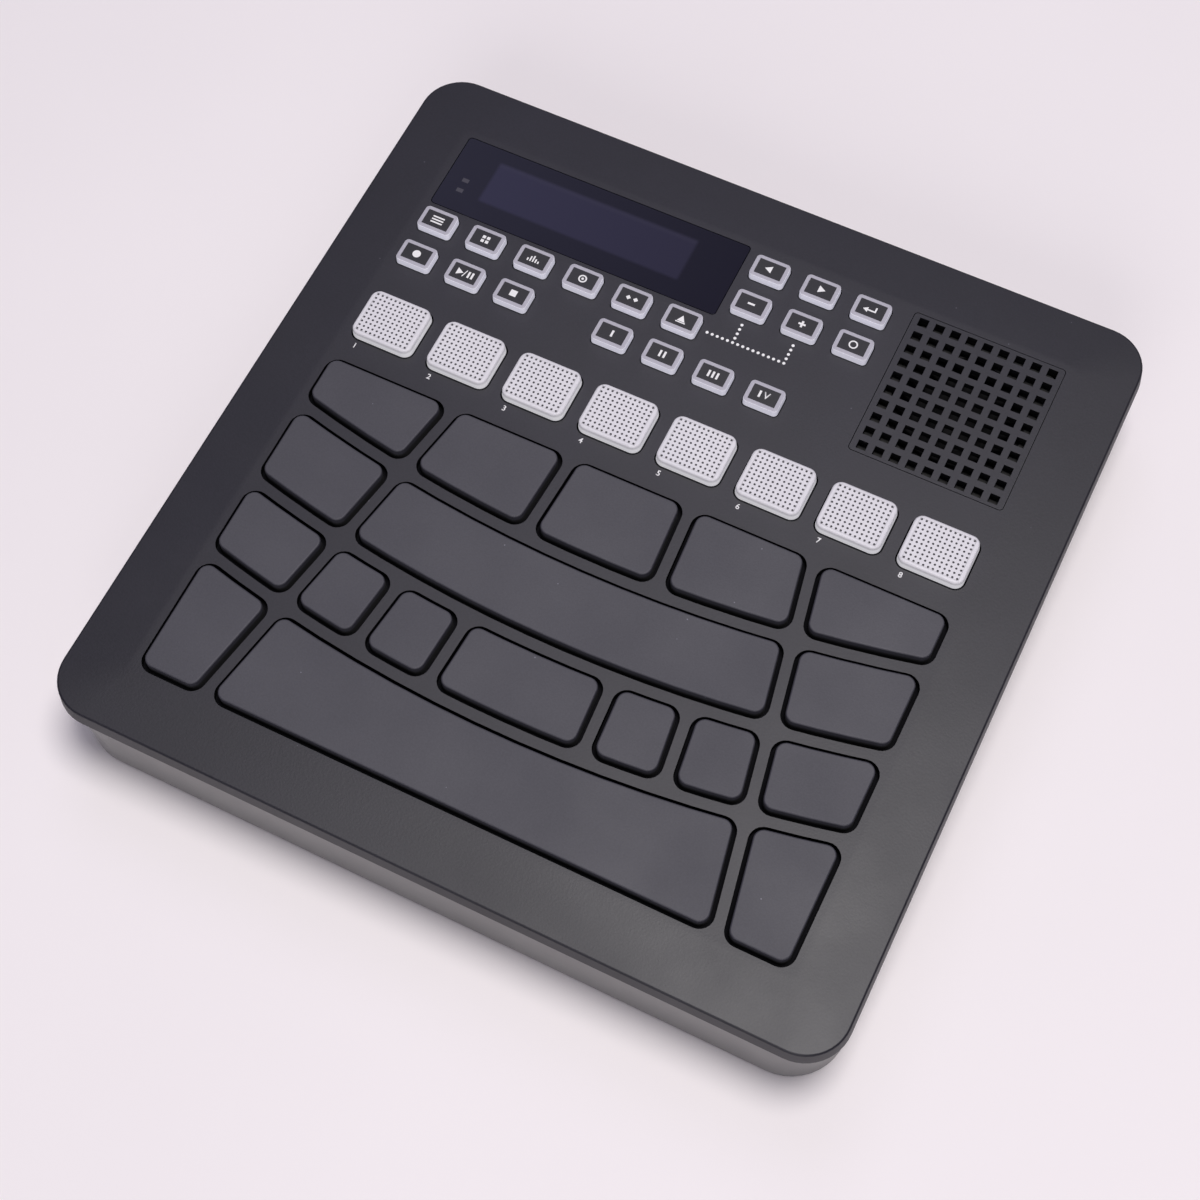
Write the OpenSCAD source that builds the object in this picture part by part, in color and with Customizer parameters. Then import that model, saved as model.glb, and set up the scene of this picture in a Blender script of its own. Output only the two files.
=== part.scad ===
// Finger drum pad: a flat square case with raised rubber pads in four bowed rows,
// a row of function pads, a field of small buttons, a display and a speaker.
// Millimetres. +X right, +Y to the back, +Z up, origin on the table under the centre.
// The layout sets the depth of the case: it runs back from the front edge, row by row.

/* [Case] */
// Width of the case over its rim
case_w = 222; // [205:1:250]
// Corner radius of the rim, seen from above
rim_corner_r = 12.5; // [8:0.5:15]
// Height of the rim's leaning band
rim_band = 5.2; // [4:0.1:6.5]
// How far that band leans in
rim_lean = 0.6; // [0.3:0.1:1.2]
// Rounding of the rim's upper edge
rim_round = 0.7; // [0.4:0.1:1.2]
// Thickness of the rim's wall
rim_wall = 3; // [2.4:0.1:3.6]
// Width of the sloping border, from the rim's edge to the flat panel
border_w = 17; // [15:0.5:21]
// Height of the flat panel above the rim's band
panel_rise = 0.7; // [0.4:0.1:1.4]
// Thickness of the panel and of the sloping border
panel_t = 2.5; // [2.2:0.1:3]

/* [Lower case] */
// How far the lower case stands in from the rim
base_inset = 1.2; // [0.8:0.1:2]
// Corner radius of the lower case
base_corner_r = 15; // [12:0.5:18]
// Height of the lower case, up to the rim
base_h = 25.5; // [24:0.5:40]
// Thickness of its walls
base_wall = 2.5; // [2:0.1:3]
// Thickness of its floor
base_floor = 2.2; // [1.8:0.1:3]
// Height of the lip that locates the two cases
lip_h = 1; // [0.6:0.1:1.2]
// Thickness of that lip
lip_t = 1.6; // [1.2:0.1:2]

/* [Feet] */
// Diameter of a rubber foot
foot_d = 14; // [10:1:18]
// Height of a rubber foot
foot_h = 1.5; // [1:0.1:4]
// Distance of a foot's centre from the case's sides
foot_inset = 25; // [23:1:40]

/* [Drum pads] */
// Flat panel left standing beside the pads
side_flat = 2.1; // [1.2:0.1:6]
// Flat panel left standing in front of the pads
front_flat = 1.1; // [0.8:0.1:6]
// Depth of each row of pad openings on the centre line, from the front row to the back row
row_depth = [24.5, 21, 22.9, 25.9]; // [18:0.1:30]
// Panel left standing between two rows
row_rib = 3; // [2.6:0.1:6]
// Panel left standing between two pads of a row
pad_rib = 2.9; // [2.6:0.1:6]
// Spacing of the ribs between the pads, from the centre line out, at the back row's back edge
rib_pitch = [17.5, 17.5, 17.9]; // [14:0.1:21]
// Distance from the back row to the point where those ribs would meet
fan_reach = 280; // [240:5:400]
// Radius of the bowed edges between the rows
bow_r = 400; // [320:10:600]
// Corner radius of a pad opening
pad_corner_r = 4; // [2.4:0.1:5]
// Gap between a pad and its opening
pad_gap = 1.3; // [0.6:0.1:1.5]
// Height of a pad above the panel
pad_proud = 2; // [1.6:0.1:3.2]
// How far a pad's flange reaches under the panel
pad_lap = 1.2; // [0.8:0.1:1.4]

/* [Function pads] */
// Panel left standing between the drum pads and the function pads
fpad_lane = 7.3; // [5:0.1:10]
// Panel left standing between two function pads
fpad_rib = 3.7; // [2.2:0.1:5]
// Depth of a function pad
fpad_d = 15.5; // [14:0.1:18]
// Corner radius of a function pad
fpad_corner_r = 2.6; // [2:0.1:4]
// Height of a function pad above the panel
fpad_proud = 2.75; // [1.4:0.05:3.4]
// How far a function pad's sides lean in above the panel
fpad_lean = 0.2; // [0.1:0.1:0.6]
// Gap between a function pad and its opening
fpad_gap = 0.45; // [0.3:0.05:0.9]

/* [Buttons] */
// Panel left standing between the function pads and the buttons
button_lane = 10.4; // [8:0.1:13]
// Panel left standing between two buttons of a row
button_rib = 4.35; // [3:0.05:5.5]
// Panel left standing between two rows of buttons
button_row_rib = 4.5; // [3.2:0.1:6]
// Depth of a button
button_d = 7.4; // [6.4:0.1:9]
// Corner radius of a button
button_corner_r = 1.2; // [0.8:0.1:2.2]
// Height of a button above the panel
button_proud = 2.4; // [1.4:0.1:3]
// How far a button's sides lean in above the panel
button_lean = 0.1; // [0.1:0.05:0.6]
// Gap between a button and its opening
button_gap = 0.3; // [0.2:0.05:0.4]

/* [Function pads and buttons] */
// How far the function pads and buttons stand in from the drum pads' left and right sides
key_inset = 0.9; // [0:0.1:1.5]

/* [Keys under the panel] */
// Thickness of the flange that keeps a pad or button in
flange_t = 1.2; // [1:0.1:1.6]
// How far the flange of a function pad or button reaches under the panel
key_lap = 0.9; // [0.7:0.05:1]
// Gap between a flange and the panel's underside
flange_gap = 0.3; // [0.25:0.05:0.4]
// Thickness of the cushion under the drum pads, and height of the key domes
cushion_t = 1.4; // [1.2:0.1:2]
// Thickness of the web between the key domes
dome_web = 0.5; // [0.3:0.1:0.7]
// Diameter of a key dome at its foot
dome_d = 7; // [5:0.5:8]
// Thickness of the circuit board
board_t = 1.6; // [1.2:0.1:2]

/* [Display] */
// How far the display window and the grille stand in from the drum pads' left and right sides
inlay_inset = 0.4; // [0:0.1:1.5]
// Panel left standing between the buttons and the display window behind them
window_lane = 2.1; // [1.4:0.1:3.5]
// Panel left standing between the display window and the buttons beside it
window_side_lane = 2.7; // [1.5:0.1:6]
// Depth of the display window
window_d = 24.7; // [22:0.1:30]
// Thickness of the display window
window_t = 1.5; // [1:0.1:1.7]
// Corner radius of the display window and of the grille
inlay_corner_r = 1; // [0.5:0.1:2]
// Fine gap round the display window and the grille
inlay_gap = 0.2; // [0.1:0.05:0.3]
// Flat panel left standing behind the display window and the grille
back_flat = 1.8; // [1.5:0.1:6]
// Width of the picture area
lcd_w = 63; // [56:0.5:70]
// Depth of the picture area
lcd_d = 14.8; // [12:0.1:16]
// Frame of the display module around the picture
lcd_frame = 3; // [2:0.5:4]

/* [Speaker] */
// Width of the grille
grille_w = 44; // [40:0.1:50]
// Depth of the grille
grille_d = 47.3; // [42:0.1:51]
// Thickness of the grille
grille_t = 2; // [1.6:0.1:2.2]
// Panel left standing between the grille and the buttons beside it
grille_lane = 5.4; // [4:0.1:8]
// Spacing of the grille's square holes
hole_pitch = 4.72; // [3.6:0.01:6]
// Side of a square hole
hole_w = 2.7; // [1.5:0.1:3.2]
// Ledge that the grille lies on
grille_ledge = 0.8; // [0.5:0.1:1.2]
// Width of the frame under the panel that carries the grille and the speaker
speaker_land = 3; // [2.5:0.1:3.4]
// Thickness of the speaker's own frame
frame_t = 1.4; // [1:0.1:1.8]
// From the grille's mouth in to the speaker's cone
cone_inset = 2.7; // [2:0.1:4]
// Depth of the speaker behind its frame
speaker_depth = 15; // [13:0.5:17]

/* [Battery] */
// Width of the battery pack
battery_w = 70; // [60:1:90]
// Depth of the battery pack
battery_d = 50; // [40:1:60]
// Height of the battery pack
battery_h = 9; // [7:0.5:12]

/* [Screws] */
// Clear space between a screw's post and the pads' flanges
post_lane = 0.5; // [0.4:0.1:1.5]
// Diameter of the posts that the screws go into
post_d = 6.2; // [5.6:0.1:7]
// Diameter of the bosses that the screws pass through
boss_d = 8; // [7.6:0.1:9]
// Diameter of a screw's shank
screw_d = 2.9; // [2.5:0.1:3.1]
// Diameter of a screw's head
screw_head_d = 5.5; // [4.8:0.1:5.6]
// Height of a screw's head
screw_head_h = 2; // [1.5:0.1:2.5]
// Length of boss between a screw's head and the board
screw_grip = 8; // [6:0.5:12]

/* [Rear sockets and controls] */
// Height of the rear sockets' centre line above the table
socket_z = 15; // [14:0.5:18]
// Bore of a headphone or line socket
jack_bore = 3.6; // [3.5:0.05:3.8]
// Diameter of the socket's collar
jack_collar = 6.4; // [5.6:0.1:7]
// Spacing of the sockets across the back
socket_pitch = 15; // [13:0.5:18]
// Clear space between the data socket and the screw boss beside it
socket_lane = 3.5; // [2:0.5:6]
// Width of the data socket
port_w = 9; // [8.4:0.1:9.6]
// Height of the data socket
port_h = 3.3; // [3:0.1:3.6]
// Where the power button stands across the back
power_x = 20; // [14:1:26]
// Diameter of the power button
power_d = 6.5; // [5.5:0.1:7]
// Where the volume wheel stands across the back
wheel_x = 46; // [40:1:52]
// Diameter of the volume wheel
wheel_d = 16.4; // [15:0.1:18]
// Thickness of the volume wheel
wheel_t = 4; // [3:0.1:5]
// How far the wheel and the power button stand out of the lower case
control_proud = 1; // [0.6:0.05:1.1]

/* [Hidden] */
eps = 0.01;
cut = 1;
arc_steps = 6;
corner_steps = 10;
$fn = 64;
running_gap = 0.3;
key_foot = 0.2;

// Heights
rim_z = foot_h + base_h;
edge_z = rim_z + rim_band;
panel_z = edge_z + panel_rise;
under_z = panel_z - panel_t;
flange_top = under_z - flange_gap;
key_z = flange_top - flange_t;
board_top = key_z - cushion_t;
board_z = board_top - board_t;
floor_z = foot_h + base_floor;
window_z = panel_z - window_t;
grille_z = panel_z - grille_t;
land_z = board_top + running_gap + frame_t;

// Rise of the border from the top of the rim's band to the panel
slope = panel_rise / (border_w - rim_lean);

// Depth of the flat panel, added up from front to back, and the case's half sizes
function sum(v, n) = n <= 0 ? 0 : v[n - 1] + sum(v, n - 1);
row_count = len(row_depth);
field_depth = sum(row_depth, row_count) + (row_count - 1) * row_rib;
button_hole_d = button_d + 2 * button_gap;
button_pitch_y = button_hole_d + button_row_rib;
window_hole_d = window_d + 2 * inlay_gap;
front_button_rows = 2;
button_rows = 4;
top_depth = max(
    front_button_rows * button_pitch_y - button_row_rib + window_lane + window_hole_d,
    button_rows * button_pitch_y - button_row_rib
);
panel_d = front_flat + field_depth + fpad_lane + fpad_d + 2 * fpad_gap + button_lane + top_depth + back_flat;
case_d = panel_d + 2 * border_w;
half = [case_w, case_d] / 2;
panel_half = half - [border_w, border_w];
base_half = half - [base_inset, base_inset];
wall = base_half - [base_wall, base_wall];

// Drum pads: each has its row from the front, then the ribs on its left and right
field_half = panel_half[0] - side_flat;
front_y = -panel_half[1] + front_flat;
function row_front(row) = front_y + sum(row_depth, row) + row * row_rib;
function row_back(row) = row_front(row) + row_depth[row];
field_back = row_back(row_count - 1);
field_side = 9;
row_ribs = [
    [-field_side, -3, 3, field_side],
    [-field_side, -3, -2, -1, 1, 2, 3, field_side],
    [-field_side, -3, 3, field_side],
    [-field_side, -3, -1, 1, 3, field_side],
];
pads = [
    for (row = [row_count - 1:-1:0])
        for (i = [0:len(row_ribs[row]) - 2]) [row, row_ribs[row][i], row_ribs[row][i + 1]]
];
pad_names = [
    "pad_back_left", "pad_back_mid_left", "pad_back_centre", "pad_back_mid_right", "pad_back_right",
    "pad_upper_left", "pad_upper_wide", "pad_upper_right",
    "pad_lower_left", "pad_small_left_outer", "pad_small_left_inner", "pad_lower_centre",
    "pad_small_right_inner", "pad_small_right_outer", "pad_lower_right",
    "pad_front_left", "pad_front_wide", "pad_front_right",
];
bow_step = 12;
least_corner_r = 0.5;

// Function pads and buttons fill the width of the drum pads but for a small inset
fpad_count = 8;
key_half = field_half - key_inset;
fpad_pitch = (2 * key_half + fpad_rib) / fpad_count;
fpad_size = [fpad_pitch - fpad_rib - 2 * fpad_gap, fpad_d];
fpad_y = field_back + fpad_lane + fpad_gap + fpad_d / 2;
fpad_names = [for (i = [1:fpad_count]) str("function_pad_", i)];
function fpad_pos(i) = [(i - (fpad_count - 1) / 2) * fpad_pitch, fpad_y];

// Grille: in the back right corner of the panel
top_back = panel_half[1] - back_flat;
grille_size = [grille_w, grille_d];
inlay_half = field_half - inlay_inset;
grille_pos = [inlay_half - grille_w / 2, top_back - inlay_gap - grille_d / 2];
mouth = grille_size - 2 * [grille_ledge, grille_ledge];

// Buttons: each has a column, a row and a name; the columns fill the width beside the grille
button_cols = 9;
button_right = grille_pos[0] - grille_w / 2 - inlay_gap - grille_lane;
button_pitch_x = (button_right + key_half + button_rib) / button_cols;
button_size = [button_pitch_x - button_rib - 2 * button_gap, button_d];
button_start = [
    -key_half + button_gap + button_size[0] / 2,
    fpad_y + fpad_d / 2 + fpad_gap + button_lane + button_gap + button_d / 2,
];
buttons = [
    [0, 0, "button_record"], [1, 0, "button_play"], [2, 0, "button_stop"],
    [4, 0, "button_bank_1"], [5, 0, "button_bank_2"], [6, 0, "button_bank_3"], [7, 0, "button_bank_4"],
    [0, 1, "button_mode_1"], [1, 1, "button_mode_2"], [2, 1, "button_mode_3"],
    [3, 1, "button_mode_4"], [4, 1, "button_mode_5"], [5, 1, "button_mode_6"],
    [6, 2, "button_minus"], [7, 2, "button_plus"], [8, 2, "button_confirm"],
    [6, 3, "button_left"], [7, 3, "button_right"], [8, 3, "button_return"],
];
function button_pos(b) = button_start + [b[0] * button_pitch_x, b[1] * button_pitch_y];
button_names = [for (b = buttons) b[2]];

// Display window: behind the front button rows and left of the back ones
beside_window = button_pos([6, 2])[0] - button_size[0] / 2 - button_gap;
window_size = [beside_window - window_side_lane - inlay_gap + inlay_half, window_d];
window_front = button_pos([0, 1])[1] + button_d / 2 + button_gap + window_lane + inlay_gap;
window_pos = [-inlay_half + window_size[0] / 2, window_front + window_d / 2];

// Screws: round the edge of the panel, clear of the flanges and of the speaker's frame
post_r = post_d / 2;
screw_x = field_half + pad_lap + post_lane + post_r;
screw_front = front_y - pad_lap - post_lane - post_r;
screw_back = grille_pos[1] + mouth[1] / 2 + speaker_land + post_lane + post_r;
screw_mid = (screw_front + screw_back) / 2;
screw_points = [
    for (x = [-screw_x, 0, screw_x], y = [screw_front, screw_mid, screw_back])
        if (x != 0 || y != screw_mid) [x, y]
];
screw_clear = 0.5;
pilot_clear = 0.1;
pilot_cover = 0.3;
screw_top = under_z - pilot_cover;
tip_gap = 0.2;
seat_z = board_z - screw_grip;
post_root = 0.5;
sheet_margin = 1.5;

// Battery and its corner ribs
battery_pos = [-20, -20];
battery_corner_r = 3;
rib_t = 2;
rib_length = 8;
rib_h = 6.3;

// Rear board, sockets and controls
rear_board_t = 1.6;
rear_depth = 24;
rear_margin = 7.8;
power_travel = 1;
power_flange_t = 1.3;
power_flange_w = 1.5;
power_stem = 3.3;
rear_clear = 2 * running_gap + power_flange_t + power_travel;
jack_h = 7;
jack_w = 11;
jack_depth = 13;
jack_wall = 2;
socket_recess = 0.2;
rear_z = socket_z - jack_h / 2 - rear_board_t;
port_x = -(boss_d / 2 + socket_lane + port_w / 2);
jack_x = [port_x - 2 * socket_pitch, port_x - socket_pitch];
rear_half = max(wheel_x + wheel_d / 2, jack_w / 2 - jack_x[0]) + rear_margin;
rear_front = wall[1] - rear_depth;
rear_back = wall[1] - rear_clear;
rear_post_d = 6;
rear_post_inset = 5;
rear_posts = [for (x = [-1, 1], y = [rear_front + rear_post_inset, rear_back - rear_post_inset])
    [x * (rear_half - rear_post_inset), y]];
spindle_d = 3;
spindle_clear = 0.1;
spindle_end = 0.6;
wheel_y = base_half[1] + control_proud - wheel_d / 2;
wheel_z = socket_z - wheel_t / 2;
wheel_ridges = 40;
ridge_depth = 0.35;
power_back = wall[1] - power_stem;

function unit(v) = v / norm(v);
function polar(r, a) = r * [cos(a), sin(a)];
function grown(size, by) = size + 2 * [by, by];
// Points of a circular arc, from one angle to another
function arc(c, r, from, to, steps) = [for (i = [0:steps]) c + polar(r, from + (to - from) * i / steps)];

// A corner between two straight stretches, rounded to radius r
function fillet(before, corner, after, r) =
    let (
        u = unit(before - corner),
        v = unit(after - corner),
        half_angle = acos(u * v) / 2,
        c = corner + unit(u + v) * r / sin(half_angle),
        from = corner + u * r / tan(half_angle) - c,
        to = corner + v * r / tan(half_angle) - c,
        turn = atan2(from[0] * to[1] - from[1] * to[0], from * to),
        start = atan2(from[1], from[0])
    )
    arc(c, r, start, start + turn, arc_steps);

function rounded_rect(size, r, steps = arc_steps) =
    let (c = size / 2 - [r, r])
    concat(
        arc([c[0], -c[1]], r, -90, 0, steps), arc(c, r, 0, 90, steps),
        arc([-c[0], c[1]], r, 90, 180, steps), arc(-c, r, 180, 270, steps)
    );

// Bowed and straight edges of the pad rows: the field's own front and back edges are straight
function bowed(y0, x, straight) = straight ? y0 : y0 + bow_r - sqrt(bow_r * bow_r - x * x);
function fan_spread(y) = (field_back + fan_reach - y) / fan_reach;
function rib_x(rib, y) =
    sign(rib) * (abs(rib) == field_side ? field_half : sum(rib_pitch, abs(rib)) * fan_spread(y));
function rib_half(rib) = abs(rib) == field_side ? 0 : pad_rib / 2;
// Where a pad's side meets its bowed edge, found in a few rounds
function meet(rib, shift, y0, straight, y, rounds = 4) =
    let (x = rib_x(rib, y) + shift)
    rounds == 0 ? [x, y] : meet(rib, shift, y0, straight, bowed(y0, x, straight), rounds - 1);
function edge_points(from, to, y0, straight) =
    let (n = straight ? 1 : ceil(abs(to[0] - from[0]) / bow_step))
    [for (i = [1:1:n - 1]) let (x = from[0] + (to[0] - from[0]) * i / n) [x, bowed(y0, x, straight)]];

// Outline of a pad, drawn in from its opening by inset
function pad_outline(pad, inset) =
    let (
        row = pad[0],
        front = row_front(row) + inset,
        back = row_back(row) - inset,
        flat_front = row == 0,
        flat_back = row == row_count - 1,
        left_shift = rib_half(pad[1]) + inset,
        right_shift = -rib_half(pad[2]) - inset,
        fl = meet(pad[1], left_shift, front, flat_front, front),
        fr = meet(pad[2], right_shift, front, flat_front, front),
        br = meet(pad[2], right_shift, back, flat_back, back),
        bl = meet(pad[1], left_shift, back, flat_back, back),
        front_edge = edge_points(fl, fr, front, flat_front),
        back_edge = edge_points(br, bl, back, flat_back),
        r = max(least_corner_r, pad_corner_r - inset)
    )
    concat(
        fillet(bl, fl, len(front_edge) > 0 ? front_edge[0] : fr, r),
        front_edge,
        fillet(len(front_edge) > 0 ? front_edge[len(front_edge) - 1] : fl, fr, br, r),
        fillet(fr, br, len(back_edge) > 0 ? back_edge[0] : bl, r),
        back_edge,
        fillet(len(back_edge) > 0 ? back_edge[len(back_edge) - 1] : br, bl, fl, r)
    );

module plate(points, z0, z1) {
    translate([0, 0, z0]) linear_extrude(height = z1 - z0) polygon(points);
}

module block(size, z0, z1) {
    translate([-size[0] / 2, -size[1] / 2, z0]) cube([size[0], size[1], z1 - z0]);
}

module at(p) {
    translate([p[0], p[1], 0]) children();
}

// An opening in the panel round an inlay or a key, down to z0
module opening(size, r, gap, z0) {
    plate(rounded_rect(grown(size, gap), r + gap), z0, panel_z + cut);
}

// Leaning rim, rounded edge and sloping border as one profile: distance in from the rim, then height
function border_line(reach) =
    let (foot = [0, rim_z], end = [reach, panel_z - (border_w - reach) * slope])
    concat([foot], fillet(foot, [rim_lean, edge_z], end, rim_round), [end]);

module border_slab(across, length) {
    line = border_line(border_w);
    linear_extrude(height = length, center = true)
        polygon(concat(
            [for (p = line) [p[0] - across, p[1]]],
            [for (i = [len(line) - 1:-1:0]) [across - line[i][0], line[i][1]]]
        ));
}

// The case's outer form: mitred borders, with coned corners
module cover_form() {
    inner = grown(2 * half, -rim_corner_r);
    corner = concat([[0, rim_z]], [for (p = border_line(rim_corner_r)) [rim_corner_r - p[0], p[1]]]);
    for (length = [[inner[0], case_d], [case_w, inner[1]]])
        intersection() {
            rotate([90, 0, 90]) border_slab(half[1], length[0]);
            rotate([90, 0, 0]) border_slab(half[0], length[1]);
        }
    for (turn = [0:90:270])
        translate([sign(cos(turn + 45)) * inner[0] / 2, sign(sin(turn + 45)) * inner[1] / 2, 0])
            rotate([0, 0, turn]) rotate_extrude(angle = 90) polygon(corner);
}

module hollow_slab(across, flat, length) {
    edge_under = under_z - (across - flat) * slope;
    linear_extrude(height = length, center = true)
        polygon([
            [-across, rim_z - cut], [across, rim_z - cut], [across, edge_under],
            [flat, under_z], [-flat, under_z], [-across, edge_under],
        ]);
}

module cover_hollow() {
    inside = half - [rim_wall, rim_wall];
    intersection() {
        rotate([90, 0, 90]) hollow_slab(inside[1], panel_half[1], case_w);
        rotate([90, 0, 0]) hollow_slab(inside[0], panel_half[0], case_d);
        plate(rounded_rect(2 * inside, rim_corner_r - rim_wall, corner_steps), rim_z - cut, panel_z);
    }
}

module key_openings() {
    z0 = under_z - cut;
    for (pad = pads) plate(pad_outline(pad, 0), z0, panel_z + cut);
    for (i = [0:fpad_count - 1]) at(fpad_pos(i)) opening(fpad_size, fpad_corner_r, fpad_gap, z0);
    for (b = buttons) at(button_pos(b)) opening(button_size, button_corner_r, button_gap, z0);
}

module inlay_openings() {
    at(window_pos) {
        opening(window_size, inlay_corner_r, inlay_gap, window_z);
        block([lcd_w + lcd_frame, lcd_d + lcd_frame], under_z - cut, panel_z);
    }
    at(grille_pos) {
        opening(grille_size, inlay_corner_r, inlay_gap, grille_z);
        block(mouth, land_z - cut, panel_z);
    }
}

module top_case() {
    color([0.13, 0.13, 0.14])
    difference() {
        union() {
            difference() {
                cover_form();
                cover_hollow();
                key_openings();
            }
            at(grille_pos) block(grown(mouth, speaker_land), land_z, under_z + eps);
            for (p = screw_points)
                at(p) translate([0, 0, board_top]) cylinder(d = post_d, h = under_z + post_root - board_top);
        }
        inlay_openings();
        for (p = screw_points)
            at(p) translate([0, 0, board_top - cut])
                cylinder(d = screw_d + pilot_clear, h = screw_top - board_top + cut);
    }
}

module rear_openings() {
    depth = base_wall + 2 * cut;
    slot_half = sqrt(pow(wheel_d / 2, 2) - pow(wall[1] - wheel_y, 2)) + 2 * running_gap;
    translate([0, base_half[1] + cut, socket_z]) rotate([90, 0, 0]) {
        for (x = jack_x) translate([x, 0, 0]) cylinder(d = jack_collar + 2 * running_gap, h = depth);
        translate([port_x, 0, 0]) block(grown([port_w, port_h], running_gap), 0, depth);
        translate([power_x, 0, 0]) cylinder(d = power_d + 2 * running_gap, h = depth);
    }
    translate([wheel_x - slot_half, wall[1] - cut, wheel_z - running_gap])
        cube([2 * slot_half, depth, wheel_t + 2 * running_gap]);
}

// Lip inside the lower case's wall: its root lies in the wall, its top stands up into the rim
module locating_lip() {
    root_h = 4;
    lip = half - [rim_wall + running_gap, rim_wall + running_gap];
    inside = [for (k = [0, 1]) min(lip[k], wall[k]) - lip_t];
    root = wall + [base_wall, base_wall] / 2;
    inner_r = base_corner_r - base_wall - lip_t;
    difference() {
        union() {
            plate(rounded_rect(2 * root, base_corner_r - base_wall / 2, corner_steps), rim_z - root_h, rim_z);
            plate(rounded_rect(2 * lip, inner_r + lip_t, corner_steps), rim_z - eps, rim_z + lip_h);
        }
        plate(rounded_rect(2 * inside, inner_r, corner_steps), rim_z - root_h - cut, rim_z + lip_h + cut);
    }
}

module battery_rib() {
    difference() {
        translate([-rib_length, -rib_length, floor_z - eps])
            cube([rib_length + rib_t, rib_length + rib_t, rib_h]);
        translate([-rib_length - cut, -rib_length - cut, floor_z - cut])
            cube([rib_length + cut, rib_length + cut, rib_h + 2 * cut]);
    }
}

module bottom_case() {
    color([0.24, 0.23, 0.22])
    difference() {
        union() {
            difference() {
                plate(rounded_rect(2 * base_half, base_corner_r, corner_steps), foot_h, rim_z);
                plate(rounded_rect(2 * wall, base_corner_r - base_wall, corner_steps), floor_z, rim_z + cut);
            }
            locating_lip();
            for (p = screw_points)
                at(p) translate([0, 0, foot_h + eps]) cylinder(d = boss_d, h = board_z - foot_h - eps);
            for (p = rear_posts)
                at(p) translate([0, 0, floor_z - eps]) cylinder(d = rear_post_d, h = rear_z - floor_z + eps);
            at(battery_pos)
                for (sx = [-1, 1], sy = [-1, 1])
                    translate([sx * (battery_w / 2 + running_gap), sy * (battery_d / 2 + running_gap), 0])
                        mirror([sx < 0 ? 1 : 0, 0, 0]) mirror([0, sy < 0 ? 1 : 0, 0]) battery_rib();
        }
        rear_openings();
        for (p = screw_points)
            at(p) {
                translate([0, 0, foot_h - cut])
                    cylinder(d = screw_head_d + 2 * running_gap, h = seat_z - foot_h + cut);
                cylinder(d = screw_d + screw_clear, h = board_z + cut);
            }
    }
}

module display_window() {
    color([0.05, 0.05, 0.09])
    at(window_pos) plate(rounded_rect(window_size, inlay_corner_r), window_z, panel_z);
}

// Display: a module frame with the picture glass standing up in it
module display_module() {
    glass_t = 0.8;
    glass_gap = 0.1;
    glass_z = under_z - glass_gap;
    color([0.1, 0.11, 0.22])
    at(window_pos) {
        block([lcd_w + 4 * lcd_frame, lcd_d + 2 * lcd_frame], board_top, glass_z - glass_t);
        block([lcd_w, lcd_d] + [lcd_frame, lcd_frame] / 2, glass_z - glass_t - eps, glass_z);
    }
}

module speaker_grille() {
    cols = floor((mouth[0] - hole_w) / hole_pitch);
    rows = floor((mouth[1] - hole_w) / hole_pitch);
    color([0.13, 0.13, 0.14])
    at(grille_pos) translate([0, 0, grille_z]) linear_extrude(height = grille_t)
        difference() {
            polygon(rounded_rect(grille_size, inlay_corner_r));
            for (i = [0:cols], j = [0:rows])
                translate([i - cols / 2, j - rows / 2] * hole_pitch) square(hole_w, center = true);
        }
}

// Speaker: a square frame, a basket and magnet behind it, and the hollow cone with its dust cap
module speaker_driver() {
    frame_w = mouth[0] + speaker_land;
    frame_corner_r = 5;
    cone_r = mouth[0] / 2 - cone_inset;
    basket_r = cone_r + 1;
    top = land_z;
    back = top - speaker_depth;
    magnet_r = 13;
    magnet_h = 6;
    magnet_top = back + magnet_h;
    neck_r = 9;
    neck_h = 1;
    cap_r = 7;
    cap_h = 2.5;
    cone_depth = 7;
    cone_z = top - cone_depth;
    surround_w = 2.5;
    surround_h = 0.4;
    color([0.16, 0.16, 0.17])
    at(grille_pos)
        difference() {
            union() {
                plate(rounded_rect([frame_w, frame_w], frame_corner_r), top - frame_t, top);
                rotate_extrude() polygon([
                    [0, back], [magnet_r, back], [magnet_r, magnet_top], [neck_r, magnet_top],
                    [neck_r, magnet_top + neck_h], [basket_r, top - frame_t], [basket_r, top - eps],
                    [0, top - eps],
                ]);
            }
            rotate_extrude() polygon([
                [0, cone_z + cap_h], [cap_r / 2, cone_z + 0.75 * cap_h], [cap_r, cone_z],
                [cone_r - surround_w, top - 2 * surround_h], [cone_r - surround_w / 2, top - surround_h],
                [cone_r, top - 2 * surround_h], [cone_r, top + cut], [0, top + cut],
            ]);
        }
}

module panel_board() {
    size = [2 * (screw_x + post_r), screw_back - screw_front + post_d];
    corner_r = 6;
    speaker_clear = 1.5;
    speaker_hole = mouth[0] / 2 - cone_inset + 1 + speaker_clear;
    color([0.1, 0.32, 0.18])
    difference() {
        at([0, screw_mid]) plate(rounded_rect(size, corner_r), board_z, board_top);
        translate([0, 0, board_z - cut]) {
            for (p = screw_points) at(p) cylinder(d = screw_d + screw_clear, h = board_t + 2 * cut);
            at(grille_pos) cylinder(r = speaker_hole, h = board_t + 2 * cut);
        }
    }
}

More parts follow.
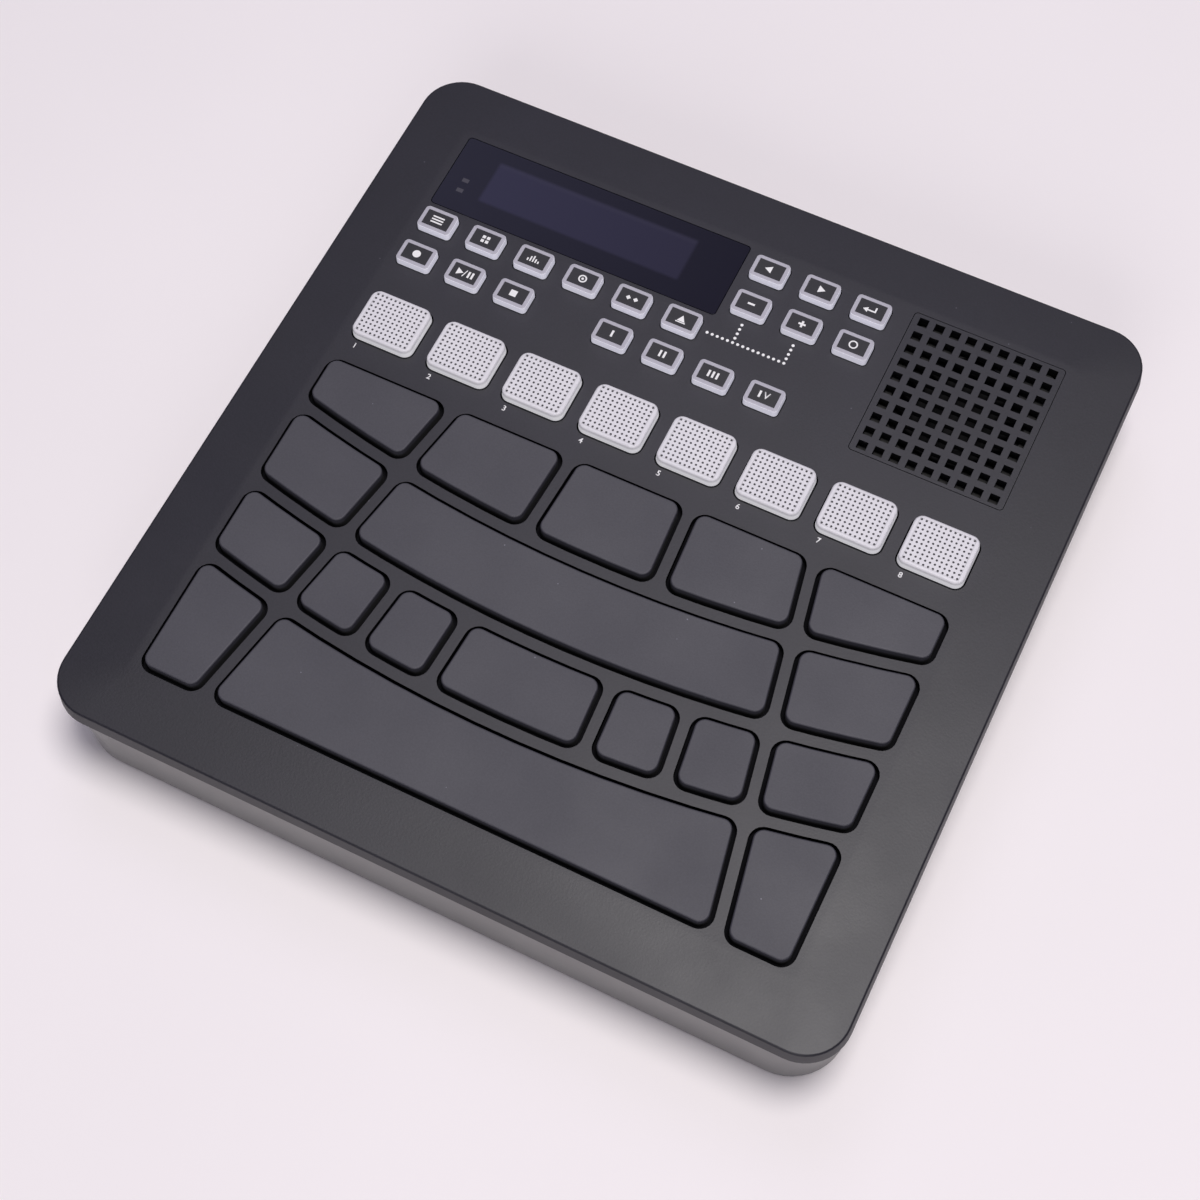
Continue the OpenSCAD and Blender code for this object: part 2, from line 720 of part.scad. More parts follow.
// Rubber sheet with a dome under each function pad and button, cut away behind the display and the speaker
module key_dome_sheet() {
    left = -field_half - sheet_margin;
    front = fpad_y - fpad_d / 2 - sheet_margin;
    step_y = fpad_y + fpad_d / 2 + sheet_margin;
    right = button_pos([8, 0])[0] + button_size[0] / 2 + sheet_margin;
    display_y = window_front - inlay_gap - window_lane / 2;
    display_x = beside_window - window_side_lane / 2;
    back = button_pos([0, 3])[1] + button_d / 2 + sheet_margin;
    domes = concat([for (i = [0:fpad_count - 1]) fpad_pos(i)], [for (b = buttons) button_pos(b)]);
    dome_taper = 0.7;
    color([0.75, 0.75, 0.78]) {
        plate(
            [[left, front], [-left, front], [-left, step_y], [right, step_y], [right, back],
             [display_x, back], [display_x, display_y], [left, display_y]],
            board_top, board_top + dome_web
        );
        for (p = domes)
            at(p) translate([0, 0, board_top + dome_web - eps])
                cylinder(d1 = dome_d, d2 = dome_d * dome_taper, h = cushion_t - dome_web + eps);
    }
}

module pad_cushion_sheet() {
    size = grown([2 * field_half, field_depth], pad_lap);
    corner_r = pad_corner_r + pad_lap;
    color([0.2, 0.2, 0.21])
    at([0, (front_y + field_back) / 2]) plate(rounded_rect(size, corner_r), board_top, key_z);
}

module battery_pack() {
    color([0.12, 0.25, 0.45])
    at(battery_pos)
        plate(rounded_rect([battery_w, battery_d], battery_corner_r), floor_z, floor_z + battery_h);
}

module rubber_feet() {
    p = half - [foot_inset, foot_inset];
    color([0.08, 0.08, 0.08])
    for (x = [-p[0], p[0]], y = [-p[1], p[1]]) at([x, y]) cylinder(d = foot_d, h = foot_h);
}

module case_screws() {
    slot_length = 3.3;
    slot_w = 1;
    slot = [slot_length, slot_w];
    head_z = seat_z - screw_head_h;
    color([0.3, 0.3, 0.32])
    for (p = screw_points)
        at(p) difference() {
            union() {
                translate([0, 0, head_z]) cylinder(d = screw_head_d, h = screw_head_h);
                translate([0, 0, seat_z - eps]) cylinder(d = screw_d, h = screw_top - tip_gap - seat_z + eps);
            }
            for (turn = [0, 90]) rotate([0, 0, turn]) block(slot, head_z - cut, head_z + screw_head_h / 2);
        }
}

// Board behind the rear wall with two round sockets, a data socket, a switch and the wheel's spindle
module rear_socket_board() {
    top = rear_z + rear_board_t;
    face_y = base_half[1] - socket_recess;
    body_back = wall[1] - running_gap;
    port_depth = 9;
    port_wall = 0.35;
    port_back_t = 2;
    switch_w = 8;
    switch_d = 6;
    switch_back = power_back - power_travel - running_gap;
    collar_d = 2 * spindle_d;
    color([0.1, 0.3, 0.17])
    difference() {
        union() {
            translate([-rear_half, rear_front, rear_z])
                cube([2 * rear_half, rear_back - rear_front, rear_board_t]);
            for (x = jack_x) {
                translate([x - jack_w / 2, body_back - jack_depth, top - eps])
                    cube([jack_w, jack_depth, jack_h]);
                translate([x, face_y, socket_z]) rotate([90, 0, 0])
                    cylinder(d = jack_collar, h = face_y - body_back + eps);
            }
            translate([port_x - port_w / 2, face_y - port_depth, 0]) {
                translate([0, 0, socket_z - port_h / 2]) cube([port_w, port_depth, port_h]);
                translate([0, 0, top - eps]) cube([port_w, rear_back - face_y + port_depth, socket_z - top]);
            }
            translate([power_x - switch_w / 2, switch_back - switch_d, top - eps])
                cube([switch_w, switch_d, jack_h]);
            translate([wheel_x, wheel_y, top - eps]) {
                cylinder(d = collar_d, h = wheel_z - running_gap - top + eps);
                cylinder(d = spindle_d, h = wheel_z + wheel_t + spindle_end - top);
            }
        }
        for (x = jack_x)
            translate([x, face_y + cut, socket_z]) rotate([90, 0, 0])
                cylinder(d = jack_bore, h = face_y - body_back + jack_depth - jack_wall + cut);
        translate([port_x, face_y + port_back_t, socket_z]) rotate([90, 0, 0])
            block(grown([port_w, port_h], -port_wall), 0, port_depth);
        at([0, screw_back]) translate([0, 0, rear_z - cut])
            cylinder(d = boss_d + 2 * screw_clear, h = rear_board_t + 2 * cut);
    }
}

module power_button() {
    color([0.1, 0.1, 0.1])
    translate([power_x, 0, socket_z]) rotate([-90, 0, 0]) {
        translate([0, 0, power_back]) cylinder(d = power_d, h = base_half[1] + control_proud - power_back);
        translate([0, 0, wall[1] - running_gap - power_flange_t])
            cylinder(d = power_d + 2 * power_flange_w, h = power_flange_t);
    }
}

module volume_wheel() {
    r = wheel_d / 2;
    color([0.1, 0.1, 0.1])
    translate([wheel_x, wheel_y, wheel_z])
        difference() {
            linear_extrude(height = wheel_t)
                polygon([
                    for (i = [0:wheel_ridges - 1], part = [0, 0.25, 0.5, 0.75])
                        polar(r - (part < 0.5 ? 0 : ridge_depth), (i + part) * 360 / wheel_ridges)
                ]);
            translate([0, 0, -cut]) cylinder(d = spindle_d + spindle_clear, h = wheel_t + 2 * cut);
        }
}

module drum_pad(pad) {
    color([0.17, 0.17, 0.18]) {
        plate(pad_outline(pad, -pad_lap), key_z, flange_top);
        plate(pad_outline(pad, pad_gap), key_z, panel_z + pad_proud);
    }
}

module key_flange(size, r, gap) {
    lap = gap + key_lap;
    plate(rounded_rect(grown(size, lap), r + lap), key_z, flange_top);
}

// A key's body: upright through its opening, leaning in above the panel
module leaning_key(size, r, lean, proud) {
    top_z = panel_z + proud;
    hull() {
        plate(rounded_rect(size, r), key_z + flange_t / 2, panel_z + key_foot);
        plate(rounded_rect(grown(size, -lean), r - lean / 2), top_z - eps, top_z);
    }
}

module function_pad(i) {
    color([0.85, 0.85, 0.86])
    at(fpad_pos(i)) {
        key_flange(fpad_size, fpad_corner_r, fpad_gap);
        leaning_key(fpad_size, fpad_corner_r, fpad_lean, fpad_proud);
    }
}

module button(b) {
    color([0.7, 0.69, 0.76])
    at(button_pos(b)) {
        key_flange(button_size, button_corner_r, button_gap);
        leaning_key(button_size, button_corner_r, button_lean, button_proud);
    }
}

top_case();
bottom_case();
display_window();
display_module();
speaker_grille();
speaker_driver();
panel_board();
key_dome_sheet();
pad_cushion_sheet();
battery_pack();
rubber_feet();
case_screws();
rear_socket_board();
power_button();
volume_wheel();
for (i = [0:len(pads) - 1]) drum_pad(pads[i]);
for (i = [0:fpad_count - 1]) function_pad(i);
for (b = buttons) button(b);
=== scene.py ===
import math

import bmesh
import bpy
from mathutils import Matrix, Vector


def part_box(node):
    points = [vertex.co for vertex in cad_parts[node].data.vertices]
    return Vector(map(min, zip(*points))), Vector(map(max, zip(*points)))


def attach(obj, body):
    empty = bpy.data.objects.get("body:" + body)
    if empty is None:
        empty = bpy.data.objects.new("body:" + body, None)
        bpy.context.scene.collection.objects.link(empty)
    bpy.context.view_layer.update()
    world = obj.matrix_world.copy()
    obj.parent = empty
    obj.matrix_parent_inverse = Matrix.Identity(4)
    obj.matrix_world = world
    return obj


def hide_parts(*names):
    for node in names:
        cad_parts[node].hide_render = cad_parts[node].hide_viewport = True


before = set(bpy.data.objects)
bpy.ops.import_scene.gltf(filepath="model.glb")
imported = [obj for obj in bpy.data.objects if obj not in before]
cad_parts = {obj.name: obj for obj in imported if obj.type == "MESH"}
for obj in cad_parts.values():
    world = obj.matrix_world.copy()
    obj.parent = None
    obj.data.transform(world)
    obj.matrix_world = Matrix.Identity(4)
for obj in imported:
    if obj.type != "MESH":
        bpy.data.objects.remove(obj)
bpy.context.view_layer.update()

MM = 0.001
TOUCH = 0.002 * MM
PANEL_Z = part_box("display_window")[1].z
scene = bpy.context.scene
scene.view_settings.view_transform = "Standard"

# Camera at the photograph's viewing angle
CAMERA_LENS = 63.13
CAMERA_SENSOR = 36.0
CAMERA_PLACE = Vector((119.32, -225.12, 528.25)) * MM
CAMERA_TURN = (24.864, 1.336, 26.223)


def add_camera():
    camera = bpy.data.cameras.new("photo_camera")
    camera.lens = CAMERA_LENS
    camera.sensor_width = CAMERA_SENSOR
    camera.clip_start = 10 * MM
    holder = bpy.data.objects.new("photo_camera", camera)
    scene.collection.objects.link(holder)
    holder.location = CAMERA_PLACE
    holder.rotation_euler = [math.radians(angle) for angle in CAMERA_TURN]
    scene.camera = holder


# Soft studio light
def add_light(name, place, aim, size, power, colour):
    lamp = bpy.data.lights.new(name, "AREA")
    lamp.shape = "DISK"
    lamp.size = size
    lamp.energy = power
    lamp.color = colour
    holder = bpy.data.objects.new(name, lamp)
    scene.collection.objects.link(holder)
    holder.location = place
    holder.rotation_euler = (Vector(aim) - Vector(place)).to_track_quat("-Z", "Y").to_euler()


def add_studio():
    add_light("overhead_softbox", place=(0.23, 0.06, 1.70), aim=(0.0, 0.0, 0.0), size=0.72, power=20.2,
              colour=(1.0, 0.965, 0.95))
    add_light("front_fill", place=(0.25, -1.30, 0.75), aim=(0.0, -0.05, 0.0), size=1.0, power=6.0,
              colour=(1.0, 0.975, 0.98))
    add_light("ceiling_bounce", place=(-0.50, 0.94, 1.70), aim=(0.0, 0.0, 0.0), size=1.1, power=3.0,
              colour=(0.92, 0.88, 1.12))
    world = bpy.data.worlds.new("studio")
    scene.world = world
    world.use_nodes = True
    background = world.node_tree.nodes["Background"]
    background.inputs["Color"].default_value = (0.88, 0.83, 1.18, 1.0)
    background.inputs["Strength"].default_value = 0.10


# Working on meshes
SHARP_ANGLE = math.radians(40)
SMOOTH_ANGLE = math.radians(35)
FLAT_ANGLE = math.radians(0.3)


def only(obj):
    """Leaves obj alone selected and active, in object mode."""
    active = bpy.context.view_layer.objects.active
    if active and active.mode != "OBJECT":
        bpy.ops.object.mode_set(mode="OBJECT")
    bpy.ops.object.select_all(action="DESELECT")
    obj.select_set(True)
    bpy.context.view_layer.objects.active = obj


def edit(obj, mode="VERT"):
    only(obj)
    bpy.ops.object.mode_set(mode="EDIT")
    bpy.ops.mesh.select_mode(type=mode)


def done():
    bpy.ops.object.mode_set(mode="OBJECT")


def select_parts(obj, mode, rule):
    """Opens obj for editing with only the edges or faces selected that rule accepts."""
    edit(obj, mode)
    bpy.ops.mesh.select_all(action="DESELECT")
    work = bmesh.from_edit_mesh(obj.data)
    for part in work.edges if mode == "EDGE" else work.faces:
        if rule(part):
            part.select_set(True)
    bmesh.update_edit_mesh(obj.data)


def select_edges(obj, rule):
    select_parts(obj, "EDGE", rule)


def select_faces(obj, rule):
    select_parts(obj, "FACE", rule)


def extrude(rise):
    """Extrudes what is selected straight up, or down where rise is negative."""
    bpy.ops.mesh.extrude_region_move(TRANSFORM_OT_translate={"value": (0.0, 0.0, rise)})


def turn_outwards():
    """Turns all faces of the mesh that is being edited outwards."""
    bpy.ops.mesh.select_all(action="SELECT")
    bpy.ops.mesh.normals_make_consistent(inside=False)


def round_edges(obj, rule, width, segments):
    """Bevels the edges that rule accepts. The width is in mm."""
    select_edges(obj, rule)
    bpy.ops.mesh.bevel(offset=width * MM, segments=segments, profile=0.5, affect="EDGES", clamp_overlap=True)
    done()


def join(first, *others):
    only(first)
    for other in others:
        other.select_set(True)
    if others:
        bpy.ops.object.join()


def copy_of(node, name):
    """A merged copy of a CAD node's mesh, as a new object to work on."""
    obj = bpy.data.objects.new(name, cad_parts[node].data.copy())
    scene.collection.objects.link(obj)
    obj.data.materials.clear()
    edit(obj)
    bpy.ops.mesh.select_all(action="SELECT")
    bpy.ops.mesh.customdata_custom_splitnormals_clear()
    bpy.ops.mesh.remove_doubles(threshold=0.001 * MM)
    bpy.ops.mesh.dissolve_limited(angle_limit=FLAT_ANGLE)
    done()
    return obj


def moved_copy(obj, name, shift):
    """A copy of a finished piece with its own mesh, shifted by a vector."""
    twin = bpy.data.objects.new(name, obj.data.copy())
    twin.data.transform(Matrix.Translation(shift))
    scene.collection.objects.link(twin)
    return twin


def smooth(obj):
    only(obj)
    bpy.ops.object.shade_smooth_by_angle(angle=SMOOTH_ANGLE)
    modifier = obj.modifiers.new("even_normals", "WEIGHTED_NORMAL")
    modifier.keep_sharp = True
    bpy.ops.object.modifier_apply(modifier=modifier.name)


def rounded_copy(node, name, rule, width, segments, material):
    """A copy of a CAD node with rounded edges, smooth shading and a finish. The width is in mm."""
    piece = copy_of(node, name)
    round_edges(piece, rule, width, segments)
    smooth(piece)
    piece.data.materials.append(material)
    return piece


def fit(obj, body, slot, *nodes):
    """Makes a finished piece ride on its body and stand for its CAD nodes."""
    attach(obj, body)
    if nodes:
        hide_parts(*nodes)


# Places on the object
def middle(node):
    low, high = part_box(node)
    return (low + high) / 2


def reach(point):
    """How far a point lies from the middle of the case, along X or Y, whichever is more."""
    return max(abs(point.x), abs(point.y))


def up(face):
    return face.normal.z > 0.9995


def upright(face):
    return abs(face.normal.z) < 0.1


def sharp(edge):
    return len(edge.link_faces) == 2 and edge.calc_face_angle(0.0) > SHARP_ANGLE


def at_height(edge, z):
    return all(abs(vert.co.z - z) < TOUCH for vert in edge.verts)


def top_edges(node):
    """A rule that accepts the sharp edges along the top of a node."""
    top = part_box(node)[1].z
    return lambda edge: at_height(edge, top) and sharp(edge)


def level_at(z):
    """A rule that accepts level faces at a height."""
    return lambda face: up(face) and abs(face.calc_center_median().z - z) < TOUCH


# Shader nodes
def feed(tree, socket, value):
    """Gives a socket a number or a colour of three numbers, or links another socket to it."""
    if isinstance(value, bpy.types.NodeSocket):
        tree.links.new(value, socket)
    elif isinstance(value, tuple):
        socket.default_value = (*value, 1.0)
    else:
        socket.default_value = value


def object_coords(tree):
    return tree.nodes.new("ShaderNodeTexCoord").outputs["Object"]


def object_axis(tree, axis):
    split = tree.nodes.new("ShaderNodeSeparateXYZ")
    tree.links.new(object_coords(tree), split.inputs[0])
    return split.outputs[axis]


def noise_node(tree, scale, detail):
    noise = tree.nodes.new("ShaderNodeTexNoise")
    tree.links.new(object_coords(tree), noise.inputs["Vector"])
    feed(tree, noise.inputs["Scale"], scale)
    noise.inputs["Detail"].default_value = detail
    return noise.outputs[0]


def range_node(tree, value, before, after):
    """Maps a value from the range before to the range after, held at its ends."""
    spread = tree.nodes.new("ShaderNodeMapRange")
    tree.links.new(value, spread.inputs[0])
    for index, number in enumerate((*before, *after), 1):
        spread.inputs[index].default_value = number
    return spread.outputs[0]


def math_node(tree, operation, *values):
    node = tree.nodes.new("ShaderNodeMath")
    node.operation = operation
    for index, value in enumerate(values):
        feed(tree, node.inputs[index], value)
    return node.outputs[0]


def mix_colour(tree, factor, first, second):
    mix = tree.nodes.new("ShaderNodeMix")
    mix.data_type = "RGBA"
    tree.links.new(factor, mix.inputs[0])
    feed(tree, mix.inputs[6], first)
    feed(tree, mix.inputs[7], second)
    return mix.outputs[2]


# Shader node groups
def new_group(name, inputs, outputs):
    tree = bpy.data.node_groups.new(name, "ShaderNodeTree")
    for socket in inputs:
        tree.interface.new_socket(name=socket, in_out="INPUT", socket_type="NodeSocketFloat")
    for socket in outputs:
        tree.interface.new_socket(name=socket, in_out="OUTPUT", socket_type="NodeSocketFloat")
    return tree, tree.nodes.new("NodeGroupInput"), tree.nodes.new("NodeGroupOutput")


def make_grain_group():
    """Spark grain of a mould: a fine height and a tone that drifts slowly."""
    tree, inside, outside = new_group("mould_grain", ["Scale"], ["Height", "Tone"])
    fine = noise_node(tree, scale=inside.outputs["Scale"], detail=3.0)
    drift = noise_node(tree, scale=42.0, detail=2.0)
    tree.links.new(fine, outside.inputs["Height"])
    fine_share = math_node(tree, "MULTIPLY", fine, 0.65)
    drift_share = math_node(tree, "MULTIPLY", drift, 0.35)
    blend = math_node(tree, "ADD", fine_share, drift_share)
    tree.links.new(range_node(tree, blend, (0.3, 0.7), (0.0, 1.0)), outside.inputs["Tone"])
    return tree


def make_dust_group():
    """Sparse pale specks, of which only some cells of the pattern hold one."""
    tree, inside, outside = new_group("dust_specks", ["Scale", "Size", "Share"], ["Specks"])
    cells = tree.nodes.new("ShaderNodeTexVoronoi")
    tree.links.new(object_coords(tree), cells.inputs["Vector"])
    tree.links.new(inside.outputs["Scale"], cells.inputs["Scale"])
    spot = math_node(tree, "LESS_THAN", cells.outputs["Distance"], inside.outputs["Size"])
    split = tree.nodes.new("ShaderNodeSeparateColor")
    tree.links.new(cells.outputs["Color"], split.inputs[0])
    chosen = math_node(tree, "LESS_THAN", split.outputs[0], inside.outputs["Share"])
    tree.links.new(math_node(tree, "MULTIPLY", spot, chosen), outside.inputs["Specks"])
    return tree


def make_handling_group():
    """Broad cloudy patches, as from handling, that vary the gloss."""
    tree, inside, outside = new_group("handling", ["Scale"], ["Cloud"])
    cloud = noise_node(tree, scale=inside.outputs["Scale"], detail=4.0)
    tree.links.new(range_node(tree, cloud, (0.32, 0.68), (0.0, 1.0)), outside.inputs["Cloud"])
    return tree


GRAIN = make_grain_group()
DUST = make_dust_group()
HANDLING = make_handling_group()


def use_group(tree, group, **values):
    node = tree.nodes.new("ShaderNodeGroup")
    node.node_tree = group
    for socket, value in values.items():
        node.inputs[socket].default_value = value
    return node


def use_grain(tree, size):
    """The mould grain at a size in mm."""
    return use_group(tree, GRAIN, Scale=1.0 / (size * MM))


def vary_gloss(tree, shader, cloud, rough):
    """Lets the roughness run between two values, by patches that get smaller as cloud grows."""
    patches = use_group(tree, HANDLING, Scale=cloud)
    gloss = range_node(tree, patches.outputs["Cloud"], (0.0, 1.0), rough)
    tree.links.new(gloss, shader.inputs["Roughness"])


# Finishes
# Painted shade, mixed into colours below the panel where keys sit in their openings
PAINTED_SHADE = (0.008, 0.008, 0.010)
SHADE_FROM, SHADE_TO = -0.1, 0.1
DUST_SCALE = 230.0
DUST_SIZE = 0.045
MOULDED_CLOUD = 34.0


def new_material(name):
    material = bpy.data.materials.new(name)
    material.use_nodes = True
    return material, material.node_tree, material.node_tree.nodes["Principled BSDF"]


def above_panel(tree, low, high):
    """Runs from 1 to 0 between two heights above the panel, in mm."""
    return range_node(tree, object_axis(tree, 2), (PANEL_Z + low * MM, PANEL_Z + high * MM), (1.0, 0.0))


def shade_below(tree, colour):
    """Paints shade into a colour below the panel, where a key sits in its opening."""
    return mix_colour(tree, above_panel(tree, SHADE_FROM, SHADE_TO), colour, PAINTED_SHADE)


def moulded(name, dark, light, rough, grain=0.4, bump=0.02, specular=0.5, metallic=0.0, dust=0.0, sunk=False):
    """A moulded finish: two tones through the grain, gloss that varies by patches, grain in relief, dust.
    The grain's size and the height of the bump are in mm. What is sunk gets painted shade below the panel."""
    material, tree, shader = new_material(name)
    texture = use_grain(tree, grain)
    colour = mix_colour(tree, texture.outputs["Tone"], dark, light)
    if dust:
        specks = use_group(tree, DUST, Scale=DUST_SCALE, Size=DUST_SIZE, Share=dust)
        pale = tuple(min(1.0, 2.6 * tone + 0.05) for tone in light)
        colour = mix_colour(tree, specks.outputs["Specks"], colour, pale)
    if sunk:
        colour = shade_below(tree, colour)
    tree.links.new(colour, shader.inputs["Base Color"])
    vary_gloss(tree, shader, MOULDED_CLOUD, rough)
    relief = tree.nodes.new("ShaderNodeBump")
    relief.inputs["Strength"].default_value = 1.0
    relief.inputs["Distance"].default_value = bump * MM
    tree.links.new(texture.outputs["Height"], relief.inputs["Height"])
    tree.links.new(relief.outputs["Normal"], shader.inputs["Normal"])
    shader.inputs["Specular IOR Level"].default_value = specular
    shader.inputs["Metallic"].default_value = metallic
    return material


CASE_TONES = ((0.0035, 0.0033, 0.0085), (0.0095, 0.0090, 0.0165))
CASE_TOP = moulded("matte_case", *CASE_TONES, (0.45, 0.51), grain=0.6, specular=0.65, dust=0.10)
CASE_RIM = moulded("matte_rim", *CASE_TONES, (0.48, 0.54), grain=0.6, specular=0.47)
CASE_BOTTOM = moulded("smooth_base", (0.088, 0.086, 0.087), (0.106, 0.104, 0.105), (0.28, 0.36),
                      grain=0.6, bump=0.006, specular=0.95)
# Drum pad rubber, with painted shade below the panel
PAD_RUBBER = moulded("pad_rubber", (0.024, 0.0235, 0.036), (0.038, 0.037, 0.052), (0.63, 0.70),
                     grain=0.5, bump=0.028, specular=1.0, dust=0.12, sunk=True)
# Painted shade: a near-black finish for opening walls, key flanges and grille holes, where there is only
# shade
OPENING_PAINTED_SHADE = moulded("opening_walls_painted_shade", (0.004, 0.004, 0.005), (0.007, 0.007, 0.009), (0.75, 0.85),
                       specular=0.05)
DIMPLE_GREY = moulded("dimple_grey", (0.060, 0.058, 0.068), (0.085, 0.082, 0.095), (0.6, 0.7),
                      grain=0.3, bump=0.004)
BUTTON_FACE = moulded("button_black", (0.012, 0.012, 0.014), (0.02, 0.02, 0.022), (0.36, 0.44),
                      grain=0.3, bump=0.004)
PRINT_WHITE = moulded("print_white", (0.84, 0.84, 0.85), (0.90, 0.90, 0.91), (0.5, 0.6),
                      grain=0.3, bump=0.003)
SIGNAL_GREY = moulded("signal_grey", (0.052, 0.050, 0.066), (0.064, 0.062, 0.080), (0.4, 0.5),
                      grain=0.3, bump=0.002, specular=0.3)
MODULE_BLACK = moulded("display_bezel", (0.006, 0.006, 0.009), (0.009, 0.009, 0.013), (0.7, 0.8),
                       grain=0.5, bump=0.004, specular=0.2)
FOOT_RUBBER = moulded("foot_rubber", (0.02, 0.02, 0.02), (0.035, 0.035, 0.035), (0.7, 0.8), grain=0.5)
SCREW_STEEL = moulded("screw_steel", (0.09, 0.09, 0.095), (0.16, 0.16, 0.165), (0.32, 0.45),
                      grain=0.25, bump=0.004, metallic=1.0)
CONTROL_BLACK = moulded("control_black", (0.02, 0.02, 0.021), (0.032, 0.032, 0.034), (0.42, 0.52),
                        grain=0.35, bump=0.01)
BOARD_GREEN = moulded("circuit_board", (0.012, 0.07, 0.035), (0.03, 0.14, 0.06), (0.3, 0.45),
                      grain=2.2, bump=0.01)
INNER_RUBBER = moulded("inner_rubber", (0.10, 0.10, 0.105), (0.14, 0.14, 0.145), (0.6, 0.7),
                       grain=0.6, bump=0.01)
BATTERY_WRAP = moulded("battery_wrap", (0.03, 0.07, 0.2), (0.05, 0.1, 0.26), (0.3, 0.4),
                       grain=3.0, bump=0.008)

MILKY_GRAIN = 0.8
MILKY_CLOUD = 120.0


def milky(name, dark, light, painted_light_colour, painted_glow, low, high, rough):
    """Milky plastic with painted light low on its sides: a paler colour and a faint emission. The painted
    light fades out between two heights above the panel, low and high, in mm."""
    material, tree, shader = new_material(name)
    tint = mix_colour(tree, use_grain(tree, MILKY_GRAIN).outputs["Tone"], dark, light)
    painted_light_share = above_panel(tree, low, high)
    tree.links.new(shade_below(tree, mix_colour(tree, painted_light_share, tint, painted_light_colour)), shader.inputs["Base Color"])
    painted_glow_colour = mix_colour(tree, painted_light_share, (0.0, 0.0, 0.0), painted_glow)
    tree.links.new(shade_below(tree, painted_glow_colour), shader.inputs["Emission Color"])
    shader.inputs["Emission Strength"].default_value = 1.0
    vary_gloss(tree, shader, MILKY_CLOUD, rough)
    return material


# Caps and function pads: painted light on their sides, painted shade below the panel
CAP_MILKY = milky("button_cap_milky", (0.42, 0.41, 0.475), (0.47, 0.46, 0.52), painted_light_colour=(0.90, 0.89, 0.95),
                  painted_glow=(0.24, 0.24, 0.285), low=2.2, high=2.4, rough=(0.34, 0.44))
FUNCTION_WHITE = milky("function_pad_white", (0.71, 0.70, 0.75), (0.76, 0.75, 0.79), painted_light_colour=(0.94, 0.93, 0.95),
                       painted_glow=(0.27, 0.27, 0.28), low=1.4, high=2.5, rough=(0.45, 0.55))

PICTURE_CENTRE = (-48.0 * MM, 80.5 * MM)
PICTURE_HALF = (31.8 * MM, 7.6 * MM)
PICTURE_FADE = 1.0 * MM
PALE_EDGE = (2.2 * MM, 1.4 * MM)
PALE_SHARE = 0.12


def make_window_material():
    """Smoked window: dark and glossy, with a painted reflection that makes it a little paler to the left. The
    picture area of the display behind it shows as a faint blue-grey field that fades out at its border and is
    palest along its back edge; the painted reflection pales it to the left too."""
    material, tree, shader = new_material("smoked_window")
    low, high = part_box("display_window")
    # Painted reflection: the base colours run paler from right to left
    painted_reflection_across = range_node(tree, object_axis(tree, 0), (low.x, high.x), (0.0, 1.0))
    smoke_and_painted_reflection = mix_colour(tree, painted_reflection_across, (0.0130, 0.0132, 0.0262), (0.0030, 0.0026, 0.0110))
    lit = mix_colour(tree, painted_reflection_across, (0.0265, 0.0260, 0.0570), (0.0165, 0.0150, 0.0350))
    edge = PICTURE_CENTRE[1] + PICTURE_HALF[1]
    pale_from, pale_to = [edge - inset for inset in PALE_EDGE]
    back = range_node(tree, object_axis(tree, 1), (pale_from, pale_to), (0.0, PALE_SHARE))
    lit = mix_colour(tree, back, lit, (0.055, 0.052, 0.080))
    shares = []
    for axis, half in enumerate(PICTURE_HALF):
        offset = math_node(tree, "SUBTRACT", object_axis(tree, axis), PICTURE_CENTRE[axis])
        distance = math_node(tree, "ABSOLUTE", offset)
        shares.append(range_node(tree, distance, (half - PICTURE_FADE, half), (1.0, 0.0)))
    picture = math_node(tree, "MULTIPLY", *shares)
    tree.links.new(mix_colour(tree, picture, smoke_and_painted_reflection, lit), shader.inputs["Base Color"])
    vary_gloss(tree, shader, 26.0, (0.14, 0.2))
    shader.inputs["Specular IOR Level"].default_value = 0.15
    return material


CONE_RADIUS = 18.4 * MM


def make_speaker_material():
    """Speaker: paper cone and dark frame, told apart by the distance from its axis."""
    material, tree, shader = new_material("speaker_parts")
    centre = middle("speaker_driver")
    squares = []
    for axis in (0, 1):
        offset = math_node(tree, "SUBTRACT", object_axis(tree, axis), centre[axis])
        squares.append(math_node(tree, "MULTIPLY", offset, offset))
    radius = math_node(tree, "SQRT", math_node(tree, "ADD", *squares))
    tone = use_grain(tree, 0.6).outputs["Tone"]
    paper = mix_colour(tree, tone, (0.007, 0.007, 0.008), (0.012, 0.012, 0.013))
    outer = math_node(tree, "GREATER_THAN", radius, CONE_RADIUS)
    tree.links.new(mix_colour(tree, outer, paper, (0.03, 0.03, 0.031)), shader.inputs["Base Color"])
    tree.links.new(range_node(tree, outer, (0.0, 1.0), (0.75, 0.5)), shader.inputs["Roughness"])
    shader.inputs["Specular IOR Level"].default_value = 0.15
    return material


SOCKET_FOOT = 1.65 * MM


def make_socket_material():
    """Rear board: green laminate with black moulded sockets standing on it."""
    material, tree, shader = new_material("rear_board_parts")
    tone = use_grain(tree, 0.7).outputs["Tone"]
    laminate = mix_colour(tree, tone, (0.012, 0.07, 0.035), (0.025, 0.12, 0.055))
    black = mix_colour(tree, tone, (0.018, 0.018, 0.019), (0.03, 0.03, 0.031))
    board_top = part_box("rear_socket_board")[0].z + SOCKET_FOOT
    standing = math_node(tree, "GREATER_THAN", object_axis(tree, 2), board_top)
    tree.links.new(mix_colour(tree, standing, laminate, black), shader.inputs["Base Color"])
    vary_gloss(tree, shader, 90.0, (0.35, 0.5))
    return material


